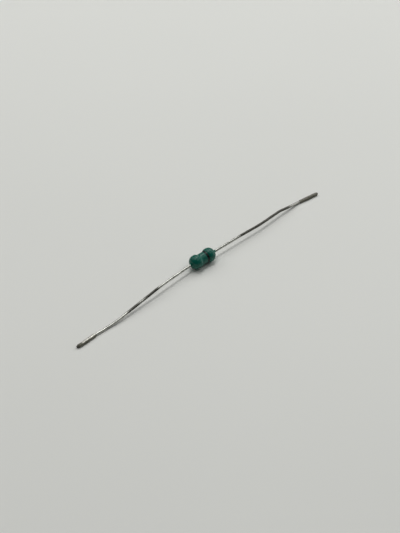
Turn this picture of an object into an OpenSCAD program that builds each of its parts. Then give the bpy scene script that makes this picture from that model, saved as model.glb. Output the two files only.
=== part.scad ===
// Axial-lead inductor with a conformal coat: a ferrite drum wound with
// enamelled wire, two tinned leads glued into its ends, and a dipped
// dog-bone body. It lies on its two end bulges and on both lead ends.
// Millimetres. +X runs along the body towards the right lead, +Z is up,
// and the origin is on the table, in the middle of the outline.

/* [Coated body] */
// Length of the coated body over its two domed ends
body_len = 5.5; // [5.4:0.05:6]
// Diameter of the two end bulges
cap_d = 2.74; // [2.7:0.02:3]
// Diameter of the waist between the bulges
waist_d = 2.26; // [2.2:0.02:2.5]
// Length of one end bulge, from its dome to the middle of its shoulder
cap_len = 1.76; // [1.6:0.02:1.9]
// Radius that rounds the dome into the side of the bulge
dome_r = 1.13; // [1.05:0.01:1.2]
// Length of the S-shaped shoulder between a bulge and the waist
shoulder_len = 0.7; // [0.6:0.05:0.9]
// How far the coat creeps out along the left lead
left_creep = 0.25; // [0.2:0.05:0.5]
// How far the coat creeps out along the right lead
right_creep = 0.45; // [0.2:0.05:0.5]

/* [Colour band] */
// Middle of the black band, measured from the middle of the body
band_at = 0.66; // [0.5:0.02:1]
// Width of the black band along the body
band_w = 0.42; // [0.3:0.02:0.6]
// Thickness of the ink
band_t = 0.03; // [0.02:0.01:0.05]

/* [Ferrite drum] */
// Length of the drum over both flanges
core_len = 4.3; // [4.2:0.05:4.3]
// Diameter of the flanges
flange_d = 2.1; // [2:0.02:2.12]
// Thickness of each flange
flange_t = 1.05; // [0.95:0.05:1.1]
// Diameter of the drum's middle, which carries the winding
drum_d = 1.1; // [1:0.05:1.2]
// Chamfer on both edges of each flange
rim_chamfer = 0.15; // [0.12:0.01:0.18]
// Diameter of the blind socket for a lead
socket_d = 0.6; // [0.58:0.01:0.7]
// Depth of the blind socket for a lead
socket_depth = 0.85; // [0.82:0.01:0.95]

/* [Winding] */
// Diameter of the enamelled wire
wire_d = 0.1; // [0.09:0.01:0.1]
// Diameter over the outer layer of turns
winding_d = 1.9; // [1.8:0.05:1.95]

/* [Leads] */
// Diameter of the tinned lead wire
lead_d = 0.5; // [0.45:0.01:0.56]
// How far a lead goes into its socket
lead_in = 0.8; // [0.6:0.05:0.8]
// Straight end of the left lead, which lies on the table
left_end = 4.0; // [2:0.1:6]
// Straight end of the right lead, which lies on the table
right_end = 3.9; // [2:0.1:6]

/* [Hidden] */

lead_r  = lead_d / 2;
wire_r  = wire_d / 2;
axis_h  = cap_d / 2;               // the body's axis above the table
half_body = body_len / 2;
half_core = core_len / 2;          // outer face of a flange
face_in = half_core - flange_t;    // inner face of a flange
out_at  = half_body + 0.5;         // end of the lead's first straight stretch
tail_gap = 0.01;                   // glue line between a wire tail and the drum

// ---- Route of each lead --------------------------------------------------
// Each step is [straight run, degrees sideways, degrees down, bend radius].
// Sideways is towards +Y, and a negative figure is the other way or upwards.
function left_steps(s) = [
    [0,   -4.0,  0, 12],
    [4.1, -1.5,  0, 20],
    [1.9,  0,    5, 20],
    [0.3,  1.0,  0, 20],
    [s,    5.0,  0, 20],
    [0.8,  0,   -5, 20],
    [1.0, -4.0,  0, 12]];
function right_steps(s) = [
    [6.3,  0,    1.5, 20],
    [4.1,  4.5,  0, 15],
    [4.9, -4.0,  7.5, 8],
    [0.9,  2.0,  0, 12],
    [s,   -9.0, -9, 8]];

// A frame is [position, local X, heading]. Local X is up on the left lead
// and down on the right one, so "updown" is -1 on the left and 1 on the right.
function bend_angle(q) = norm([q[1], q[2]]);
function bend_way(q, updown) = atan2(q[1], updown * q[2]);
function swing(v, n, h, a) =
    let (p = v * n, q = v * h)
    v - p * n - q * h + p * (cos(a) * n - sin(a) * h) + q * (sin(a) * n + cos(a) * h);
function after(f, q, updown) =
    let (w = bend_way(q, updown), a = bend_angle(q), h = f[2],
         n = cos(w) * f[1] + sin(w) * cross(h, f[1]),
         c = f[0] + h * q[0] + n * q[3])
    [c - n * q[3] * cos(a) + h * q[3] * sin(a),
     swing(f[1], n, h, a), swing(h, n, h, a)];
function walk(f, steps, updown, i = 0) =
    i == len(steps) ? f : walk(after(f, steps[i], updown), steps, updown, i + 1);

left_start  = [[-out_at, 0, axis_h], [0, 0, 1],  [-1, 0, 0]];
right_start = [[ out_at, 0, axis_h], [0, 0, -1], [ 1, 0, 0]];
function left_bent(s)  = walk(left_start,  left_steps(s),  -1);
function right_bent(s) = walk(right_start, right_steps(s),  1);
function tip(f, l) = f[0] + f[2] * l;
function left_tip_z(s)  = tip(left_bent(s), left_end)[2];
function right_tip_z(s) = tip(right_bent(s), right_end)[2];

// The sloping run is as long as it takes to bring the lead's end down to the table.
tip_z = lead_r + 0.005;
left_slope  = (left_tip_z(0) - tip_z) / (left_tip_z(0) - left_tip_z(1));
right_slope = (right_tip_z(0) - tip_z) / (right_tip_z(0) - right_tip_z(1));
left_tip  = tip(left_bent(left_slope), left_end);
right_tip = tip(right_bent(right_slope), right_end);
left_head  = left_bent(left_slope)[2];
right_head = right_bent(right_slope)[2];

// Outline seen from above, which puts the origin in its middle.
function reach(h, k) = lead_r * sqrt(max(0, 1 - h[k] * h[k]));
x_lo = left_tip[0] - reach(left_head, 0);
x_hi = right_tip[0] + reach(right_head, 0);
y_lo = min(-cap_d / 2, left_tip[1] - reach(left_head, 1), right_tip[1] - reach(right_head, 1));
y_hi = max(cap_d / 2, left_tip[1] + reach(left_head, 1), right_tip[1] + reach(right_head, 1));
to_origin = [-(x_lo + x_hi) / 2, -(y_lo + y_hi) / 2, 0];

module placed() translate(to_origin) children();
// Local Z along the body's axis, local X pointing down.
module on_axis() placed() translate([0, 0, axis_h]) rotate([0, 90, 0]) children();

// ---- Outline of the coated body ------------------------------------------
// Points are [radius, distance along the axis]. "g" grows the outline, for
// the ink that lies on it.
cap_r   = cap_d / 2;
waist_r = waist_d / 2;
step_r  = cap_r - waist_r;
s_r     = (shoulder_len * shoulder_len + step_r * step_r) / (4 * step_r);
s_turn  = asin(shoulder_len / 2 / s_r);
s_mid   = half_body - cap_len;
creep_start = half_body - 0.13;
dome_at = function (z) (cap_r - dome_r) + sqrt(dome_r * dome_r - pow(z - (half_body - dome_r), 2));
function half_outline(g, creep) = concat(
    [[waist_r + g, 0]],
    [for (i = [0:8]) let (a = s_turn * i / 8)
        [waist_r + s_r - (s_r - g) * cos(a), s_mid - shoulder_len / 2 + (s_r - g) * sin(a)]],
    [for (i = [7:-1:0]) let (a = s_turn * i / 8)
        [cap_r - s_r + (s_r + g) * cos(a), s_mid + shoulder_len / 2 - (s_r + g) * sin(a)]],
    [for (i = [0:24]) let (a = asin((creep_start - half_body + dome_r) / dome_r) * i / 24)
        [cap_r - dome_r + (dome_r + g) * cos(a), half_body - dome_r + (dome_r + g) * sin(a)]],
    [for (i = [1:8]) let (t = 1 - i / 8)
        [lead_r + 0.02 + (dome_at(creep_start) - lead_r - 0.02) * t * t,
         half_body + creep - (half_body + creep - creep_start) * t]]);
function mirrored(pts) = [for (i = [len(pts) - 1:-1:0]) [pts[i][0], -pts[i][1]]];
module body_outline(g = 0)
    polygon(concat([[0, -half_body - left_creep]], mirrored(half_outline(g, left_creep)),
                   half_outline(g, right_creep), [[0, half_body + right_creep]]));

// ---- Pieces --------------------------------------------------------------

// One flange of the drum, with both rims chamfered.
module flange() rotate_extrude($fn = 96) polygon([
    [0, face_in], [flange_d / 2 - rim_chamfer, face_in], [flange_d / 2, face_in + rim_chamfer],
    [flange_d / 2, half_core - rim_chamfer], [flange_d / 2 - rim_chamfer, half_core], [0, half_core]]);

// Drum of ferrite: two thick flanges, a slim middle, a blind socket in each end.
module ferrite_core() color([0.2, 0.19, 0.19]) on_axis() difference() {
    union() {
        cylinder(d = drum_d, h = 2 * face_in, center = true, $fn = 64);
        flange();
        mirror([0, 0, 1]) flange();
    }
    translate([0, 0, half_core - socket_depth]) cylinder(d = socket_d, h = socket_depth + 1, $fn = 48);
    translate([0, 0, -half_core - 1]) cylinder(d = socket_d, h = socket_depth + 1, $fn = 48);
}

// Quarter bend of the winding wire, from +Z towards +X.
module wire_elbow(r) translate([r, 0, 0]) rotate([90, 0, 180])
    rotate_extrude(angle = 90, $fn = 64) translate([r, 0]) circle(r = wire_r, $fn = 24);

// End of the winding: up the flange's inner face, over its rim, down its outer
// face, and once round the root of the lead.
module wire_tail() {
    rise_z = face_in - wire_r - tail_gap;
    down_z = half_core + wire_r + tail_gap;
    top_r  = flange_d / 2 + wire_r + tail_gap;
    from_r = winding_d / 2 - wire_r;
    ring_r = lead_r + wire_r + tail_gap;
    in_bend = 0.08;
    out_bend = 0.15;
    translate([from_r, 0, rise_z]) rotate([0, 90, 0])
        cylinder(r = wire_r, h = top_r - in_bend - from_r, $fn = 24);
    translate([top_r - in_bend, 0, rise_z]) rotate([0, 90, 0]) rotate([0, 0, 180]) wire_elbow(in_bend);
    translate([top_r, 0, rise_z + in_bend])
        cylinder(r = wire_r, h = down_z - out_bend - rise_z - in_bend, $fn = 24);
    translate([top_r, 0, down_z - out_bend]) rotate([0, 0, 180]) wire_elbow(out_bend);
    translate([ring_r, 0, down_z]) rotate([0, 90, 0])
        cylinder(r = wire_r, h = top_r - out_bend - ring_r, $fn = 24);
    translate([0, 0, down_z]) rotate_extrude($fn = 64) translate([ring_r, 0]) circle(r = wire_r, $fn = 24);
}

// The coil and its two ends: one length of enamelled wire.
turns = floor(2 * face_in / wire_d + 0.01);
pitch = 2 * face_in / turns;
module copper_winding() color([0.72, 0.36, 0.16]) on_axis() {
    rotate_extrude($fn = 96) {
        translate([drum_d / 2, -face_in]) square([(winding_d - drum_d) / 2 - wire_r * 0.8, 2 * face_in]);
        for (i = [0:turns - 1])
            translate([winding_d / 2 - wire_r, -face_in + pitch * (i + 0.5)]) circle(r = pitch / 2, $fn = 32);
    }
    rotate([0, 0, 200]) wire_tail();
    mirror([0, 0, 1]) rotate([0, 0, 150]) wire_tail();
}

// Part of a bend on the circle that the lead's centreline follows: forward
// from the bend's start, or back from its end.
module bend_arc(r, from, sweep) translate([r, 0, 0]) rotate([90, 0, 180])
    rotate_extrude(angle = sweep, start = from, $fn = 720) translate([r, 0]) circle(r = lead_r, $fn = 48);

// One straight run of lead and one gentle bend after another, each carried on
// from the end of the last. The two parts of a bend overlap in its middle.
module lead_run(steps, last, updown, i = 0) {
    if (i == len(steps)) cylinder(r = lead_r, h = last, $fn = 48);
    else {
        q = steps[i];
        w = bend_way(q, updown);
        a = bend_angle(q);
        cylinder(r = lead_r, h = q[0], $fn = 48);
        translate([0, 0, q[0]]) rotate([0, 0, w]) {
            bend_arc(q[3], 0, a * 0.75);
            translate([q[3], 0, 0]) rotate([0, a, 0]) translate([-q[3], 0, 0]) {
                bend_arc(q[3], -a * 0.75, a * 0.75);
                rotate([0, 0, -w]) lead_run(steps, last, updown, i + 1);
            }
        }
    }
}
root_at = half_core - lead_in;     // where a lead ends inside its socket
module left_lead() color([0.62, 0.62, 0.58]) placed() translate([-root_at, 0, axis_h]) rotate([0, -90, 0])
    lead_run(concat([[out_at - root_at + left_steps(0)[0][0], left_steps(0)[0][1], left_steps(0)[0][2], left_steps(0)[0][3]]],
                    [for (i = [1:6]) left_steps(left_slope)[i]]), left_end, -1);
module right_lead() color([0.62, 0.62, 0.58]) placed() translate([root_at, 0, axis_h]) rotate([0, 90, 0])
    lead_run(concat([[out_at - root_at + right_steps(0)[0][0], right_steps(0)[0][1], right_steps(0)[0][2], right_steps(0)[0][3]]],
                    [for (i = [1:4]) right_steps(right_slope)[i]]), right_end, 1);

// Cup of glue between a lead and its socket.
module socket_adhesive() difference() {
    translate([0, 0, half_core - socket_depth]) cylinder(d = socket_d, h = socket_depth, $fn = 48);
    translate([0, 0, root_at]) cylinder(r = lead_r, h = 2, $fn = 48);
}
module right_socket_adhesive() color([0.85, 0.74, 0.5]) on_axis() socket_adhesive();
module left_socket_adhesive() color([0.85, 0.74, 0.5]) on_axis() mirror([0, 0, 1]) socket_adhesive();

// Collar of solder at the root of a lead, which holds the turn of wire there.
collar = [[0.52, 0], [0.5, 0.06], [0.44, 0.14], [0.37, 0.22], [0.32, 0.3], [0.29, 0.4]];
module solder_body() rotate_extrude($fn = 64) polygon(concat(
    [[0, half_core]], [for (p = collar) [p[0] + lead_r - 0.25, p[1] + half_core]], [[0, half_core + 0.4]]));
module solder_joint(turn) difference() {
    solder_body();
    translate([0, 0, half_core - 1]) cylinder(r = lead_r, h = 2, $fn = 48);
    rotate([0, 0, turn]) wire_tail();
}
module right_solder_joint() color([0.74, 0.75, 0.76]) on_axis() solder_joint(200);
module left_solder_joint() color([0.74, 0.75, 0.76]) on_axis() mirror([0, 0, 1]) solder_joint(150);

// The dipped coat: one closed skin from lead to lead, round everything inside.
module coat_inside() {
    rotate_extrude($fn = 96) polygon([
        [0, -half_core], [flange_d / 2 - rim_chamfer, -half_core], [flange_d / 2, -half_core + rim_chamfer],
        [flange_d / 2, -face_in - rim_chamfer], [flange_d / 2 - rim_chamfer, -face_in],
        [winding_d / 2 - wire_r, -face_in], [winding_d / 2 - wire_r, face_in],
        [flange_d / 2 - rim_chamfer, face_in], [flange_d / 2, face_in + rim_chamfer],
        [flange_d / 2, half_core - rim_chamfer], [flange_d / 2 - rim_chamfer, half_core], [0, half_core]]);
    rotate_extrude($fn = 96) for (i = [0:turns - 1])
        translate([winding_d / 2 - wire_r, -face_in + pitch * (i + 0.5)]) circle(r = pitch / 2, $fn = 32);
    solder_body();
    mirror([0, 0, 1]) solder_body();
}
module epoxy_coating() color([0.05, 0.27, 0.22]) on_axis() difference() {
    rotate_extrude($fn = 128) body_outline();
    coat_inside();
    rotate([0, 0, 200]) wire_tail();
    mirror([0, 0, 1]) rotate([0, 0, 150]) wire_tail();
    translate([0, 0, -5]) cylinder(r = lead_r, h = 10, $fn = 48);
}

// Black colour band, a ring of ink at the foot of the right bulge.
module black_band() color([0.04, 0.05, 0.05]) on_axis() rotate_extrude($fn = 128) difference() {
    intersection() {
        body_outline(band_t);
        translate([0, band_at - band_w / 2]) square([cap_d, band_w]);
    }
    body_outline();
}

ferrite_core();
copper_winding();
left_lead();
right_lead();
left_socket_adhesive();
right_socket_adhesive();
left_solder_joint();
right_solder_joint();
epoxy_coating();
black_band();
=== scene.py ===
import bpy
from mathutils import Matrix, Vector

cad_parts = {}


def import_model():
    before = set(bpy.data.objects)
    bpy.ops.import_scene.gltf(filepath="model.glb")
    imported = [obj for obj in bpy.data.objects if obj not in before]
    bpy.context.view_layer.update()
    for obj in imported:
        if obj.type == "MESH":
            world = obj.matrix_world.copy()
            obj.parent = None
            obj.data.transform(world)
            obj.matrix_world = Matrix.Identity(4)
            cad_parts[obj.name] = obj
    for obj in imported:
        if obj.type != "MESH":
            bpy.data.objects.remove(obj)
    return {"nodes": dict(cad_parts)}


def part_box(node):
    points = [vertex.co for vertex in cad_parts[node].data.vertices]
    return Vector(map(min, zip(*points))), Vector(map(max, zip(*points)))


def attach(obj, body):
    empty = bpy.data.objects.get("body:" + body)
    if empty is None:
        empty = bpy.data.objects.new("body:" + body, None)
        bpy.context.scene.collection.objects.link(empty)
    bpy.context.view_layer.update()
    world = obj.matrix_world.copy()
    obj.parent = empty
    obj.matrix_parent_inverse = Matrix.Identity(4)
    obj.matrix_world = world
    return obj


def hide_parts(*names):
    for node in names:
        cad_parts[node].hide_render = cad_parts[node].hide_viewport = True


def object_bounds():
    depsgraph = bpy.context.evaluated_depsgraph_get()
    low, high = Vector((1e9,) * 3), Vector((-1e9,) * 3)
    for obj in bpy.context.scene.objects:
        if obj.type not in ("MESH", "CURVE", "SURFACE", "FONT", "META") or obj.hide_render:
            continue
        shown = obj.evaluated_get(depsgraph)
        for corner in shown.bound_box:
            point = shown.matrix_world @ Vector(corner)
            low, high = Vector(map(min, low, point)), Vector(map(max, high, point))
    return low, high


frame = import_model()
cad_box = [list(v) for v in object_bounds()]

import math

import bmesh
import bpy
from mathutils import Matrix, Vector, noise

MM = 0.001
TAU = 2 * math.pi
scene = bpy.context.scene

# ---------------------------------------------------------------- where things are
# Everything below is worked out in millimetres from the coated body's middle:
# x along the body, z up, with the table at z = 0.
lo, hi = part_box("epoxy_coating")
BODY_LEN = 5.5
HALF = BODY_LEN / 2
CREEP_END = {-1: HALF + 0.25, 1: HALF + 0.45}    # the coat runs further out along the right lead
MID = Vector((hi.x / MM - CREEP_END[1], (lo.y + hi.y) / 2 / MM, 0))
AXIS_H = (lo.z + hi.z) / 2 / MM
CAP_R = (hi.z - lo.z) / 2 / MM

WAIST_R = 1.13
CAP_LEN = 1.76
DOME_R = 1.13
SHOULDER = 0.7
CREEP_START = HALF - 0.13
LEAD_R = 0.25
HALF_CORE = 2.15
FLANGE_R = 1.05
FLANGE_T = 1.05
FACE_IN = HALF_CORE - FLANGE_T
WINDING_R = 0.95
LEAD_IN = 0.8
ROOT_AT = HALF_CORE - LEAD_IN
OUT_AT = HALF + 0.5
BAND_AT, BAND_W = 0.66, 0.42


def world(p):
    """A point in body millimetres, in the frame's metres."""
    return (Vector(p) + MID) * MM


def fbm(p, freq, octaves=3, gain=0.5):
    v, a, f = 0.0, 1.0, freq
    total = 0.0
    for _ in range(octaves):
        v += a * noise.noise(Vector(p) * f)
        total += a
        a *= gain
        f *= 2.03
    return v / total


def smooth01(t):
    t = min(1.0, max(0.0, t))
    return t * t * (3 - 2 * t)


# ---------------------------------------------------------------- meshes
def make(name, verts, faces, mat, smooth=True):
    me = bpy.data.meshes.new(name)
    me.from_pydata([tuple(v) for v in verts], [], faces)
    me.validate()
    bm = bmesh.new()
    bm.from_mesh(me)
    bmesh.ops.recalc_face_normals(bm, faces=bm.faces)
    bm.to_mesh(me)
    bm.free()
    for p in me.polygons:
        p.use_smooth = smooth
    ob = bpy.data.objects.new(name, me)
    scene.collection.objects.link(ob)
    me.materials.append(mat)
    return ob


def rings_to_mesh(rings, closed_loop=False):
    """Quads between rings of equally many points."""
    verts, faces = [], []
    n = len(rings[0])
    for r in rings:
        verts.extend(r)
    count = len(rings)
    last = count if closed_loop else count - 1
    for i in range(last):
        a, b = i * n, ((i + 1) % count) * n
        for j in range(n):
            k = (j + 1) % n
            faces.append((a + j, a + k, b + k, b + j))
    return verts, faces


# ---------------------------------------------------------------- shader helpers
def new_mat(name):
    m = bpy.data.materials.new(name)
    m.use_nodes = True
    nt = m.node_tree
    nt.nodes.clear()
    out = nt.nodes.new("ShaderNodeOutputMaterial")
    bsdf = nt.nodes.new("ShaderNodeBsdfPrincipled")
    nt.links.new(bsdf.outputs[0], out.inputs[0])
    tc = nt.nodes.new("ShaderNodeTexCoord")
    return m, nt, bsdf, tc


def tex_noise(nt, vec, scale, detail=4.0, rough=0.55, distort=0.0):
    n = nt.nodes.new("ShaderNodeTexNoise")
    n.inputs["Scale"].default_value = scale
    n.inputs["Detail"].default_value = detail
    n.inputs["Roughness"].default_value = rough
    n.inputs["Distortion"].default_value = distort
    nt.links.new(vec, n.inputs["Vector"])
    return n.outputs["Fac"]


def ramp(nt, fac, stops):
    r = nt.nodes.new("ShaderNodeValToRGB")
    els = r.color_ramp.elements
    while len(els) < len(stops):
        els.new(0.5)
    for e, (pos, col) in zip(els, stops):
        e.position = pos
        e.color = (*col, 1.0) if len(col) == 3 else col
    nt.links.new(fac, r.inputs["Fac"])
    return r.outputs["Color"]


def map_range(nt, fac, a, b, c, d):
    m = nt.nodes.new("ShaderNodeMapRange")
    m.inputs["From Min"].default_value = a
    m.inputs["From Max"].default_value = b
    m.inputs["To Min"].default_value = c
    m.inputs["To Max"].default_value = d
    nt.links.new(fac, m.inputs["Value"])
    return m.outputs["Result"]


def mix_colour(nt, fac, a, b, kind="MIX"):
    m = nt.nodes.new("ShaderNodeMix")
    m.data_type = "RGBA"
    m.blend_type = kind
    if isinstance(fac, float):
        m.inputs["Factor"].default_value = fac
    else:
        nt.links.new(fac, m.inputs["Factor"])
    for sock, v in ((m.inputs[6], a), (m.inputs[7], b)):
        if isinstance(v, (tuple, list)):
            sock.default_value = (*v, 1.0)
        else:
            nt.links.new(v, sock)
    return m.outputs[2]


def math_node(nt, op, a, b=None, clamp=False):
    m = nt.nodes.new("ShaderNodeMath")
    m.operation = op
    m.use_clamp = clamp
    for sock, v in zip(m.inputs, (a, b)):
        if v is None:
            continue
        if isinstance(v, (int, float)):
            sock.default_value = v
        else:
            nt.links.new(v, sock)
    return m.outputs[0]


def bump(nt, height, distance, strength=1.0, normal=None):
    b = nt.nodes.new("ShaderNodeBump")
    b.inputs["Strength"].default_value = strength
    b.inputs["Distance"].default_value = distance
    nt.links.new(height, b.inputs["Height"])
    if normal is not None:
        nt.links.new(normal, b.inputs["Normal"])
    return b.outputs["Normal"]


def scaled(nt, vec, s):
    m = nt.nodes.new("ShaderNodeMapping")
    m.inputs["Scale"].default_value = s
    nt.links.new(vec, m.inputs["Vector"])
    return m.outputs["Vector"]


def attribute(nt, name):
    a = nt.nodes.new("ShaderNodeAttribute")
    a.attribute_name = name
    return a


# ---------------------------------------------------------------- materials
def green_epoxy():
    m, nt, b, tc = new_mat("dipped_green_epoxy")
    obj = tc.outputs["Object"]
    broad = tex_noise(nt, obj, 700, 3)
    mid = tex_noise(nt, obj, 3200, 4, 0.6)
    fine = tex_noise(nt, obj, 14000, 3, 0.6)
    col = ramp(nt, broad, [(0.30, (0.0012, 0.088, 0.063)), (0.55, (0.0016, 0.112, 0.081)),
                           (0.75, (0.0030, 0.135, 0.099))])
    col = mix_colour(nt, map_range(nt, mid, 0.35, 0.75, 0.0, 0.40), col, (0.0010, 0.078, 0.058))
    # the coat is thin, and so a little lighter, where it was drawn out along the leads
    thin = attribute(nt, "thin").outputs["Fac"]
    col = mix_colour(nt, thin, col, (0.020, 0.130, 0.098))
    nt.links.new(col, b.inputs["Base Color"])
    rough = math_node(nt, "ADD", map_range(nt, mid, 0.3, 0.7, 0.26, 0.34), map_range(nt, fine, 0.3, 0.7, -0.02, 0.03))
    nt.links.new(rough, b.inputs["Roughness"])
    b.inputs["IOR"].default_value = 1.53
    b.inputs["Specular IOR Level"].default_value = 0.28
    n1 = bump(nt, mid, 0.000008, 0.3)
    n2 = bump(nt, fine, 0.000003, 0.35, n1)
    nt.links.new(n2, b.inputs["Normal"])
    return m


def dark_ring_material():
    # a near-black band laid round the coat at the foot of the right bulge
    m, nt, b, tc = new_mat("dark_ring_at_bulge_foot_material")
    obj = tc.outputs["Object"]
    mid = tex_noise(nt, obj, 4200, 4, 0.6)
    fine = tex_noise(nt, obj, 16000, 3, 0.6)
    col = ramp(nt, mid, [(0.3, (0.0006, 0.0060, 0.0046)), (0.6, (0.0010, 0.0095, 0.0074)), (0.8, (0.002, 0.014, 0.011))])
    nt.links.new(col, b.inputs["Base Color"])
    nt.links.new(map_range(nt, fine, 0.3, 0.7, 0.30, 0.42), b.inputs["Roughness"])
    b.inputs["Specular IOR Level"].default_value = 0.22
    nt.links.new(bump(nt, fine, 0.000004, 0.6), b.inputs["Normal"])
    return m


def tinned_wire():
    """Dull tin over copper: draw lines along the wire, clouded patches, and a yellow-grey tarnish towards the ends;
    the lighter stretches between are a painted glint where the wire catches the light.
    """
    m, nt, b, tc = new_mat("tinned_lead_wire")
    obj = tc.outputs["Object"]
    along = attribute(nt, "along")          # x: mm from the root, y and z: place round the wire
    lines = tex_noise(nt, scaled(nt, along.outputs["Vector"], (0.6, 9.0, 9.0)), 1.0, 5, 0.65)
    cloud = tex_noise(nt, obj, 900, 5, 0.6)
    speck = tex_noise(nt, obj, 9000, 3, 0.6)
    glint_tin = ramp(nt, cloud, [(0.3, (0.36, 0.362, 0.335)), (0.5, (0.45, 0.452, 0.42)), (0.72, (0.54, 0.542, 0.51))])
    dull = ramp(nt, cloud, [(0.3, (0.050, 0.049, 0.042)), (0.7, (0.095, 0.093, 0.082))])
    dull_outside_painted_glint = attribute(nt, "dull_outside_painted_glint").outputs["Fac"]
    # painted glint: the lighter tin colour shows only on the listed stretches where the wire catches the light
    mixed = mix_colour(nt, dull_outside_painted_glint, glint_tin, dull)
    mixed = mix_colour(nt, map_range(nt, speck, 0.60, 0.72, 0.0, 0.5), mixed, (0.13, 0.125, 0.105))
    nt.links.new(mixed, b.inputs["Base Color"])
    b.inputs["Metallic"].default_value = 1.0
    r = math_node(nt, "ADD", map_range(nt, cloud, 0.3, 0.7, 0.13, 0.20), map_range(nt, dull_outside_painted_glint, 0.0, 1.0, 0.0, 0.18))
    r = math_node(nt, "ADD", r, map_range(nt, lines, 0.3, 0.7, -0.04, 0.06), True)
    nt.links.new(r, b.inputs["Roughness"])
    n1 = bump(nt, lines, 0.000006, 0.5)
    n2 = bump(nt, speck, 0.000004, 0.4, n1)
    nt.links.new(n2, b.inputs["Normal"])
    return m


def tape_residue():
    m, nt, b, tc = new_mat("tape_gum_residue")
    obj = tc.outputs["Object"]
    cloud = tex_noise(nt, obj, 1500, 5, 0.6)
    grit = tex_noise(nt, obj, 9000, 4, 0.65)
    col = ramp(nt, cloud, [(0.30, (0.062, 0.061, 0.041)), (0.5, (0.112, 0.110, 0.080)), (0.7, (0.19, 0.187, 0.145))])
    col = mix_colour(nt, map_range(nt, grit, 0.52, 0.72, 0.0, 0.7), col, (0.035, 0.034, 0.023))
    # the gum is rubbed thin along the crest, where the wire shows through; this lighter, more metallic stripe along
    # the top is also a painted highlight
    bare_crest_and_painted_highlight = attribute(nt, "bare_crest_and_painted_highlight").outputs["Fac"]
    bare_crest_and_painted_highlight = math_node(nt, "MULTIPLY", bare_crest_and_painted_highlight, map_range(nt, cloud, 0.30, 0.42, 0.55, 1.0), True)
    col = mix_colour(nt, bare_crest_and_painted_highlight, col, (0.62, 0.615, 0.56))
    nt.links.new(col, b.inputs["Base Color"])
    nt.links.new(math_node(nt, "MULTIPLY", bare_crest_and_painted_highlight, 0.55), b.inputs["Metallic"])
    rough = math_node(nt, "SUBTRACT", map_range(nt, grit, 0.3, 0.7, 0.42, 0.7), math_node(nt, "MULTIPLY", bare_crest_and_painted_highlight, 0.22))
    nt.links.new(rough, b.inputs["Roughness"])
    nt.links.new(bump(nt, grit, 0.00002, 0.6), b.inputs["Normal"])
    return m


def ferrite():
    m, nt, b, tc = new_mat("fired_ferrite")
    obj = tc.outputs["Object"]
    grain = tex_noise(nt, obj, 22000, 4, 0.7)
    cloud = tex_noise(nt, obj, 2500, 3)
    col = ramp(nt, cloud, [(0.3, (0.028, 0.027, 0.026)), (0.7, (0.055, 0.052, 0.050))])
    col = mix_colour(nt, map_range(nt, grain, 0.55, 0.75, 0.0, 0.5), col, (0.10, 0.098, 0.094))
    nt.links.new(col, b.inputs["Base Color"])
    nt.links.new(map_range(nt, grain, 0.3, 0.7, 0.5, 0.75), b.inputs["Roughness"])
    nt.links.new(bump(nt, grain, 0.000008, 0.6), b.inputs["Normal"])
    return m


def enamelled_copper():
    m, nt, b, tc = new_mat("enamelled_copper_wire")
    obj = tc.outputs["Object"]
    cloud = tex_noise(nt, obj, 5000, 4)
    fine = tex_noise(nt, obj, 20000, 3)
    col = ramp(nt, cloud, [(0.3, (0.42, 0.13, 0.045)), (0.6, (0.60, 0.22, 0.085)), (0.8, (0.66, 0.28, 0.12))])
    nt.links.new(col, b.inputs["Base Color"])
    b.inputs["Metallic"].default_value = 0.85
    nt.links.new(map_range(nt, fine, 0.3, 0.7, 0.22, 0.34), b.inputs["Roughness"])
    b.inputs["Coat Weight"].default_value = 0.6
    b.inputs["Coat Roughness"].default_value = 0.12
    nt.links.new(bump(nt, fine, 0.000002, 0.5), b.inputs["Normal"])
    return m


def amber_glue():
    m, nt, b, tc = new_mat("amber_glue")
    obj = tc.outputs["Object"]
    cloud = tex_noise(nt, obj, 6000, 4)
    col = ramp(nt, cloud, [(0.3, (0.36, 0.22, 0.07)), (0.7, (0.52, 0.37, 0.16))])
    nt.links.new(col, b.inputs["Base Color"])
    nt.links.new(map_range(nt, cloud, 0.3, 0.7, 0.16, 0.3), b.inputs["Roughness"])
    nt.links.new(bump(nt, cloud, 0.000006, 0.5), b.inputs["Normal"])
    return m


def bright_solder():
    m, nt, b, tc = new_mat("bright_solder")
    obj = tc.outputs["Object"]
    cloud = tex_noise(nt, obj, 7000, 4)
    col = ramp(nt, cloud, [(0.3, (0.50, 0.51, 0.51)), (0.7, (0.68, 0.69, 0.69))])
    nt.links.new(col, b.inputs["Base Color"])
    b.inputs["Metallic"].default_value = 1.0
    nt.links.new(map_range(nt, cloud, 0.3, 0.7, 0.16, 0.32), b.inputs["Roughness"])
    nt.links.new(bump(nt, cloud, 0.000008, 0.5), b.inputs["Normal"])
    return m


EPOXY, DARK_RING_MAT, WIRE, GUM = green_epoxy(), dark_ring_material(), tinned_wire(), tape_residue()

# ---------------------------------------------------------------- the dipped coat
STEP_R = CAP_R - WAIST_R
S_R = (SHOULDER * SHOULDER + STEP_R * STEP_R) / (4 * STEP_R)
S_MID = HALF - CAP_LEN


def cad_radius(s):
    """The coat's radius at distance s from the body's middle, as built."""
    end = CREEP_END[1 if s > 0 else -1]
    s = abs(s)
    if s <= S_MID - SHOULDER / 2:
        return WAIST_R
    if s <= S_MID:
        d = s - (S_MID - SHOULDER / 2)
        return WAIST_R + S_R - math.sqrt(S_R * S_R - d * d)
    if s <= S_MID + SHOULDER / 2:
        d = S_MID + SHOULDER / 2 - s
        return CAP_R - S_R + math.sqrt(S_R * S_R - d * d)
    if s <= HALF - DOME_R:
        return CAP_R
    if s <= CREEP_START:
        d = s - (HALF - DOME_R)
        return CAP_R - DOME_R + math.sqrt(max(0.0, DOME_R * DOME_R - d * d))
    t = (end - s) / (end - CREEP_START)
    return LEAD_R + 0.02 + (cad_radius(CREEP_START) - LEAD_R - 0.02) * max(0.0, t) ** 2


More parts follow.
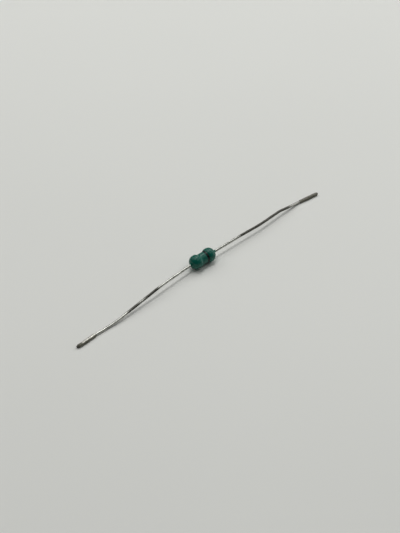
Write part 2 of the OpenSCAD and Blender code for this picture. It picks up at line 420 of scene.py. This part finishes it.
def coat_radius(s, turn):
    """The radius of the finished coat: a dipped skin is never quite even."""
    r = cad_radius(s)
    free = smooth01((CREEP_END[1 if s > 0 else -1] - abs(s)) / 0.5)
    p = (s, 1.2 * math.cos(turn), 1.2 * math.sin(turn))
    r += free * (0.016 * fbm(p, 0.55, 2) + 0.0045 * fbm(p, 2.3, 2) - 0.009)
    # the left bulge carries a little more of its coat on top than underneath
    high = smooth01((-s - 0.5) / 1.0) * (1 - smooth01((-s - HALF + 0.45) / 0.45))
    r += high * (0.07 * math.cos(turn) - 0.02 * (1 - math.cos(turn)))
    return r


def on_body(s, turn, r):
    """turn is measured round the axis from straight up, towards +y."""
    return Vector((s, r * math.sin(turn), AXIS_H + r * math.cos(turn)))


def outer_stations(side):
    out, s = [], 0.0
    while s < CREEP_START:
        out.append(s)
        slope = abs(cad_radius(s + 0.01) - cad_radius(s)) / 0.01
        s += 0.034 / math.sqrt(1 + slope * slope)
    for i in range(17):
        out.append(CREEP_START + (CREEP_END[side] - CREEP_START) * i / 16)
    return out


SEG = 208
turns = [TAU * j / SEG for j in range(SEG)]
stations = [-v for v in reversed(outer_stations(-1)[1:])] + outer_stations(1)
rings = []
for s in stations:
    ring = []
    for a in turns:
        p = on_body(s, a, coat_radius(s, a))
        p.z = max(p.z, 0.001)
        ring.append(world(p))
    rings.append(ring)
skin_rings = len(rings)
# the inside: down the lead, round the solder, the drum and the winding, and out again
COLLAR = [(0.40, 0.29), (0.3, 0.32), (0.22, 0.37), (0.14, 0.44), (0.06, 0.5), (0.0, 0.52)]
inner = [(HALF_CORE + 0.55, LEAD_R + 0.004)]
inner += [(HALF_CORE + z, r + 0.004) for z, r in COLLAR]
inner += [(HALF_CORE + 0.002, FLANGE_R - 0.15), (HALF_CORE - 0.15, FLANGE_R + 0.003), (FACE_IN + 0.15, FLANGE_R + 0.003),
          (FACE_IN, FLANGE_R - 0.15), (FACE_IN, WINDING_R + 0.004), (0.5, WINDING_R + 0.004)]
inner = [(CREEP_END[1] - 0.02, LEAD_R + 0.004)] + inner + [(-s, r) for s, r in reversed(inner)] + [(0.02 - CREEP_END[-1], LEAD_R + 0.004)]
for s, r in inner:
    rings.append([world(on_body(s, a, r)) for a in turns])
verts, faces = rings_to_mesh(rings, closed_loop=True)
coat = make("dipped_epoxy_coat", verts, faces, EPOXY)
coat.data.attributes.new("thin", "FLOAT", "POINT")
thin = coat.data.attributes["thin"]
for i, s in enumerate(stations):
    v = smooth01((abs(s) - HALF) / (CREEP_END[1 if s > 0 else -1] - HALF)) * 0.8
    for j in range(SEG):
        thin.data[i * SEG + j].value = v
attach(coat, "root")
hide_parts("epoxy_coating")

# ---------------------------------------------------------------- the dark ring at the foot of the right bulge
ACROSS = 16
ring_mesh = []
for j in range(SEG):
    a = turns[j]
    q = (3 * math.cos(a), 3 * math.sin(a), 7.7)
    s0 = BAND_AT - BAND_W / 2 + 0.035 * fbm(q, 0.8, 3)
    s1 = BAND_AT + BAND_W / 2 + 0.030 * fbm((q[1], q[0], 2.1), 0.8, 3)
    loop = []
    for i in range(ACROSS + 1):
        u = i / ACROSS
        s = s0 + (s1 - s0) * u
        lift = 0.013 * (1 - abs(2 * u - 1) ** 5) + 0.003 * fbm((s * 2, *q[:2]), 2.0, 2) * (1 - abs(2 * u - 1))
        loop.append((s, coat_radius(s, a) + lift))
    for i in range(ACROSS - 1, 0, -1):
        u = i / ACROSS
        s = s0 + (s1 - s0) * u
        loop.append((s, coat_radius(s, a) - 0.006))
    ring_mesh.append([world(on_body(s, a, r)) for s, r in loop])
verts, faces = rings_to_mesh(ring_mesh, closed_loop=True)
dark_ring = make("dark_ring_at_bulge_foot", verts, faces, DARK_RING_MAT)
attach(dark_ring, "root")
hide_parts("black_band")


# ---------------------------------------------------------------- the leads
# Each step is (straight run, degrees sideways, degrees down, bend radius).
def left_steps(s):
    return [(0, -4.0, 0, 12), (4.1, -1.5, 0, 20), (1.9, 0, 5, 20), (0.3, 1.0, 0, 20),
            (s, 5.0, 0, 20), (0.8, 0, -5, 20), (1.0, -4.0, 0, 12)]


def right_steps(s):
    return [(6.3, 0, 1.5, 20), (4.1, 4.5, 0, 15), (4.9, -4.0, 7.5, 8), (0.9, 2.0, 0, 12), (s, -9.0, -9, 8)]


LEFT_END, RIGHT_END = 4.0, 3.9


def bend(q, updown):
    return math.radians(math.hypot(q[1], q[2])), math.atan2(q[1], updown * q[2])


def swing(v, n, h, a):
    p, q = v.dot(n), v.dot(h)
    return v - p * n - q * h + p * (math.cos(a) * n - math.sin(a) * h) + q * (math.sin(a) * n + math.cos(a) * h)


def walk(pos, x, h, steps, updown, last, every=None):
    """Frames along the lead: position, one direction across it, its heading and the length so far."""
    out, run = [], 0.0

    def straight(length):
        nonlocal pos, run
        if every:
            n = max(1, round(length / every))
            for i in range(n):
                out.append((pos + h * (length * i / n), x.copy(), h.copy(), run + length * i / n))
        pos = pos + h * length
        run += length

    for q in steps:
        straight(q[0])
        a, w = bend(q, updown)
        n = math.cos(w) * x + math.sin(w) * h.cross(x)
        c = pos + n * q[3]
        if every:
            k = max(2, round(a * q[3] / (every * 0.7)))
            for i in range(k):
                t = a * i / k
                out.append((c - n * q[3] * math.cos(t) + h * q[3] * math.sin(t), swing(x, n, h, t), swing(h, n, h, t), run + q[3] * t))
        pos = c - n * q[3] * math.cos(a) + h * q[3] * math.sin(a)
        x, h = swing(x, n, h, a), swing(h, n, h, a)
        run += q[3] * a
    straight(last)
    out.append((pos, x, h, run))
    return out


def lead_frames(side, every=None):
    steps, updown, last = (left_steps, -1, LEFT_END) if side < 0 else (right_steps, 1, RIGHT_END)
    start = (Vector((side * OUT_AT, 0, AXIS_H)), Vector((0, 0, -side)), Vector((side, 0, 0)))
    tip = [walk(*start, steps(k), updown, last)[-1][0].z for k in (0, 1)]
    slope = (tip[0] - (LEAD_R + 0.005)) / (tip[0] - tip[1])
    full = [(OUT_AT - ROOT_AT + steps(slope)[0][0], *steps(slope)[0][1:])] + steps(slope)[1:]
    root = (Vector((side * ROOT_AT, 0, AXIS_H)), Vector((0, 0, -side)), Vector((side, 0, 0)))
    return walk(*root, full, updown, last, every)


LEAD_SEG = 44
NICKS = {  # mm from the root, place round the wire, depth, half length, half width in radians
    -1: [(25.3, 1.1, 0.045, 0.16, 0.5), (12.9, 5.3, 0.02, 0.3, 0.4), (18.4, 2.9, 0.016, 0.25, 0.4), (7.2, 0.6, 0.012, 0.4, 0.3)],
    1: [(6.8, 4.4, 0.014, 0.25, 0.35), (15.2, 2.0, 0.018, 0.3, 0.4), (21.6, 3.4, 0.03, 0.2, 0.45), (24.9, 0.4, 0.022, 0.25, 0.4)]}


PAINTED_GLINT = {-1: [(-2, 8.0, 1.0), (11.7, 13.1, 0.6), (16.0, 26.0, 1.0)], 1: [(-2, 6.2, 1.0), (20.1, 23.4, 0.5)]}    # painted glint: from, to, how bright, in mm from beside the body


def lead(side, name, node):
    frames = lead_frames(side, 0.07)
    total = frames[-1][3]
    shown = OUT_AT - ROOT_AT
    rings, data = [], []
    for pos, x, h, run in frames:
        y = h.cross(x)
        free = smooth01((run - shown) / 3.0) * smooth01((total - run) / 1.0)
        off = x * (0.014 * fbm((run, side * 3.1, 0.2), 0.21, 3)) + y * (0.022 * fbm((run, side * 5.7, 4.4), 0.19, 3))
        c = pos + off * free
        ring, info = [], []
        for j in range(LEAD_SEG):
            a = TAU * j / LEAD_SEG
            r = LEAD_R - 0.0015
            r += smooth01((run - shown) / 0.6) * (0.0035 * fbm((run, 1.5 * math.cos(a), 1.5 * math.sin(a) + side), 0.9, 3))
            for at, place, deep, hl, hw in NICKS[side]:
                u = (run - at) / hl
                if abs(u) < 3:
                    d = (a - place + math.pi) % TAU - math.pi
                    r -= deep * math.exp(-u * u) * math.exp(-(d / hw) ** 2)
                    r += deep * 0.35 * math.exp(-((abs(u) - 1.5) ** 2) * 3) * math.exp(-(d / hw) ** 2)
            p = c + (x * math.cos(a) + y * math.sin(a)) * r
            p.z = max(p.z, 0.001)
            ring.append(p)
            info.append((run, math.cos(a), math.sin(a)))
        rings.append(ring)
        data.append(info)
    # the end was sheared off: a slightly slanting face with a dragged rim
    pos, x, h, run = frames[-1]
    y = h.cross(x)
    way = 0.9 if side < 0 else 2.6
    caps = []
    for k, (share, push) in enumerate(((0.985, -0.02), (0.93, 0.0), (0.80, 0.006), (0.55, -0.004), (0.28, 0.003))):
        ring, info = [], []
        for j in range(LEAD_SEG):
            a = TAU * j / LEAD_SEG
            slant = math.tan(math.radians(9)) * LEAD_R * share * math.cos(a - way) - 0.035
            rough = 0.006 * fbm((7 * math.cos(a), 7 * math.sin(a), k + side), 0.8, 2) if k else 0
            drag = -0.03 * smooth01((math.cos(a - way - 2.2) - 0.55) / 0.45) * (1 if k < 2 else 0.4)
            p = pos + (x * math.cos(a) + y * math.sin(a)) * (LEAD_R - 0.0015) * share * (1 + drag) + h * (push + slant + rough)
            p.z = max(p.z, 0.001)
            ring.append(p)
            info.append((run, math.cos(a), math.sin(a)))
        caps.append(ring)
        data.append(info)
    # the last full ring would stand past the slanting face, so it goes
    while (frames[-1][3] - frames[len(rings) - 1][3]) < 0.09:
        rings.pop()
        data.pop(len(rings))
    rings += caps
    verts = [p for r in rings for p in r]
    faces = []
    n = LEAD_SEG
    for i in range(len(rings) - 1):
        for j in range(n):
            k = (j + 1) % n
            faces.append((i * n + j, i * n + k, (i + 1) * n + k, (i + 1) * n + j))
    root_c = len(verts)
    verts.append(frames[0][0])
    tip_c = len(verts)
    verts.append(sum((p for p in rings[-1]), Vector()) / n)
    m = (len(rings) - 1) * n
    for j in range(n):
        k = (j + 1) % n
        faces.append((root_c, k, j))
        faces.append((tip_c, m + j, m + k))
    ob = make(name, [world(p) for p in verts], faces, WIRE)
    ob.data.attributes.new("along", "FLOAT_VECTOR", "POINT")
    ob.data.attributes.new("dull_outside_painted_glint", "FLOAT", "POINT")
    along, dull_outside_painted_glint = ob.data.attributes["along"], ob.data.attributes["dull_outside_painted_glint"]
    flat = [v for r in data for v in r] + [(0, 0, 0), (run, 0, 0)]
    for i, v in enumerate(flat):
        along.data[i].vector = v
        d = v[0] - shown
        # painted glint: the listed stretches get the lighter tin colour where the wire catches the light, the rest
        # keeps the dull tarnished tin
        painted_glint_share = sum(how * smooth01((d - a) / 1.2 + 0.5) * smooth01((b - d) / 1.2 + 0.5) for a, b, how in PAINTED_GLINT[side])
        dull_outside_painted_glint.data[i].value = min(1.0, max(0.0, 1.0 - painted_glint_share + 0.22 * fbm((v[0], 2.0 * side, 1.0), 0.8, 2)))
    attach(ob, "root")
    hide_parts(node)
    return ob, frames


left, left_frames = lead(-1, "tinned_lead_left", "left_lead")
right, right_frames = lead(1, "tinned_lead_right", "right_lead")


# ---------------------------------------------------------------- gum left by the tape
def residue(side, frames, start, name):
    """A thin uneven sleeve of gum on the last few millimetres, spread a little to both sides."""
    total = frames[-1][3]
    stations = [f for f in frames if total - start <= f[3] <= total - 0.06]
    first, last = stations[0][3], stations[-1][3]
    seg = 56
    outer, inner_r, bare_crest_and_painted_highlight = [], [], []
    for pos, x, h, run in stations:
        flat_y = Vector((-h.y, h.x, 0)).normalized()
        up = h.cross(flat_y) if h.cross(flat_y).z > 0 else -h.cross(flat_y)
        u = (run - first) / (last - first)
        ring_o, ring_i = [], []
        for j in range(seg):
            a = TAU * j / seg
            ca, sa = math.cos(a), math.sin(a)
            wing = abs(sa) ** 5
            t = 0.036 + 0.055 * max(0.0, 0.5 + fbm((run * 1.0, 1.3 * ca, 1.3 * sa + 9 * side), 1.1, 3))
            t += 0.016 * fbm((run * 3.1, 2.6 * ca, 2.6 * sa - 5 * side), 1.2, 3)
            t += wing * (0.060 + 0.075 * fbm((run, 3.0 * side, 5.0 if a < math.pi else 11.0), 0.8, 2))
            # a ragged edge at both ends: the gum runs out into the surface of the wire
            rag0 = 0.02 + 0.34 * min(1.0, max(0.0, 0.5 + 0.9 * fbm((1.7 * ca, 1.7 * sa, side * 4.0), 1.3, 3)))
            rag1 = 0.02 + 0.30 * min(1.0, max(0.0, 0.4 + 0.9 * fbm((1.9 * ca, 1.9 * sa, side * 7.0 + 2.0), 1.3, 3)))
            gate = smooth01((run - first - rag0) / 0.22) * smooth01((last - rag1 - run) / 0.12)
            t = -0.010 + (max(0.012, t) + 0.010) * gate
            d = up * ca + flat_y * sa
            po = pos + d * (LEAD_R + t)
            if gate > 0:
                po.z = max(po.z, 0.0008)
            po = Vector(world(po))
            po.y = max(po.y, cad_box[0][1] - 0.00006)
            ring_o.append(po)
            ring_i.append(world(pos + d * (LEAD_R - 0.022)))
            # how far the crest has been rubbed, partly a painted highlight along the top: only on the left lead, and
            # not at its very end
            off = abs((a + math.pi) % TAU - math.pi)
            rubbed_and_lit_crest = (1 - smooth01((off - 0.35) / 0.5)) * (1 - smooth01((u - 0.70) / 0.12)) if side < 0 else 0.12 * (1 - smooth01((off - 0.3) / 0.6))
            bare_crest_and_painted_highlight.append(rubbed_and_lit_crest)
        outer.append(ring_o)
        inner_r.append(ring_i)
    verts, faces = rings_to_mesh(outer + inner_r[::-1], closed_loop=True)
    ob = make(name, verts, faces, GUM)
    ob.data.attributes.new("bare_crest_and_painted_highlight", "FLOAT", "POINT")
    for i, v in enumerate(bare_crest_and_painted_highlight):
        ob.data.attributes["bare_crest_and_painted_highlight"].data[i].value = v
    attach(ob, "root")
    return ob


residue(-1, left_frames, 4.5, "tape_residue_left")
residue(1, right_frames, 4.7, "tape_residue_right")

# ---------------------------------------------------------------- what is sealed inside
for node, mat in (("ferrite_core", ferrite()), ("copper_winding", enamelled_copper()),
                  ("left_socket_adhesive", None), ("right_socket_adhesive", None),
                  ("left_solder_joint", None), ("right_solder_joint", None)):
    ob = frame["nodes"][node]
    if mat is None:
        mat = bpy.data.materials.get("amber_glue") or amber_glue() if "adhesive" in node else bpy.data.materials.get("bright_solder") or bright_solder()
    if not ob.material_slots:
        ob.data.materials.append(mat)
    for sl in ob.material_slots:
        sl.material = mat


# ---------------------------------------------------------------- floor
def paper():
    m, nt, b, tc = new_mat("pale_paper")
    obj = tc.outputs["Object"]
    broad = tex_noise(nt, obj, 9, 2)
    fine = tex_noise(nt, obj, 1800, 4)
    col = ramp(nt, broad, [(0.3, (0.765, 0.772, 0.745)), (0.7, (0.785, 0.792, 0.765))])
    nt.links.new(col, b.inputs["Base Color"])
    b.inputs["Roughness"].default_value = 0.85
    b.inputs["Specular IOR Level"].default_value = 0.2
    nt.links.new(bump(nt, fine, 0.000012, 0.25), b.inputs["Normal"])
    return m


me = bpy.data.meshes.new("floor")
me.from_pydata([(0.42 * math.cos(TAU * i / 120), 0.42 * math.sin(TAU * i / 120), 0) for i in range(120)], [], [tuple(range(120))])
floor = bpy.data.objects.new("floor", me)
scene.collection.objects.link(floor)
me.materials.append(paper())


# ---------------------------------------------------------------- light
def area(name, rise, round_z, distance, size, power, colour=(1, 1, 1), across_x=False):
    """A soft panel facing the object: rise and round_z are degrees up and round, size is its breadth and height.

    With across_x its breadth runs square to the object's length instead of level."""
    d = bpy.data.lights.new(name, "AREA")
    d.shape = "RECTANGLE"
    d.size, d.size_y = size
    d.energy = power
    d.color = colour
    ob = bpy.data.objects.new(name, d)
    e, t = math.radians(rise), math.radians(round_z)
    z = Vector((math.cos(e) * math.cos(t), math.cos(e) * math.sin(t), math.sin(e)))
    x = z.cross(Vector((1, 0, 0))).normalized() if across_x else Vector((-math.sin(t), math.cos(t), 0))
    y = z.cross(x)
    ob.location = z * distance
    ob.rotation_mode = "QUATERNION"
    ob.rotation_quaternion = Matrix((x, y, z)).transposed().to_quaternion()
    scene.collection.objects.link(ob)
    return ob


SOFT = (1.0, 1.0, 0.985)
area("overhead", 79, 90, 0.6, (0.50, 0.14), 1.00, SOFT)
area("back", 58, 80, 0.6, (0.40, 0.27), 0.30, SOFT)
area("left", 36, 112, 0.6, (0.55, 0.27), 0.60, SOFT)
area("right", 36, 6, 0.6, (0.46, 0.27), 0.95, SOFT)
area("right_high", 60, 308, 0.6, (0.34, 0.26), 0.34, SOFT)
area("right_low", 13, 330, 0.6, (0.42, 0.22), 0.38, SOFT)
area("strip", 52, 41.6, 0.6, (0.42, 0.13), 0.62, SOFT, across_x=True)

w = bpy.data.worlds.new("room")
scene.world = w
w.use_nodes = True
bg = w.node_tree.nodes.get("Background") or w.node_tree.nodes.new("ShaderNodeBackground")
bg.inputs[0].default_value = (0.93, 0.98, 1.0, 1)
bg.inputs[1].default_value = 0.02
# the room gives next to no light, but what shows of it past the floor is a plain pale wall
wall = w.node_tree.nodes.new("ShaderNodeBackground")
wall.inputs[0].default_value = (0.60, 0.61, 0.585, 1)
wall.inputs[1].default_value = 1.0
seen = w.node_tree.nodes.new("ShaderNodeLightPath")
either = w.node_tree.nodes.new("ShaderNodeMixShader")
w.node_tree.links.new(seen.outputs["Is Camera Ray"], either.inputs[0])
w.node_tree.links.new(bg.outputs[0], either.inputs[1])
w.node_tree.links.new(wall.outputs[0], either.inputs[2])
room = w.node_tree.nodes.get("World Output") or w.node_tree.nodes.new("ShaderNodeOutputWorld")
w.node_tree.links.new(either.outputs[0], room.inputs["Surface"])

# ---------------------------------------------------------------- camera
cam_d = bpy.data.cameras.new("camera")
cam_d.lens = 91.52
cam_d.sensor_width = 36
cam_d.clip_start, cam_d.clip_end = 0.002, 20
cam = bpy.data.objects.new("camera", cam_d)
scene.collection.objects.link(cam)
cam.location = world((-128.95, -139.13, 163.26))
look = Vector((0.5133, 0.5563, -0.6536))
cam.rotation_mode = "QUATERNION"
cam.rotation_quaternion = look.to_track_quat("-Z", "Y")
scene.camera = cam
scene.view_settings.view_transform = "Standard"
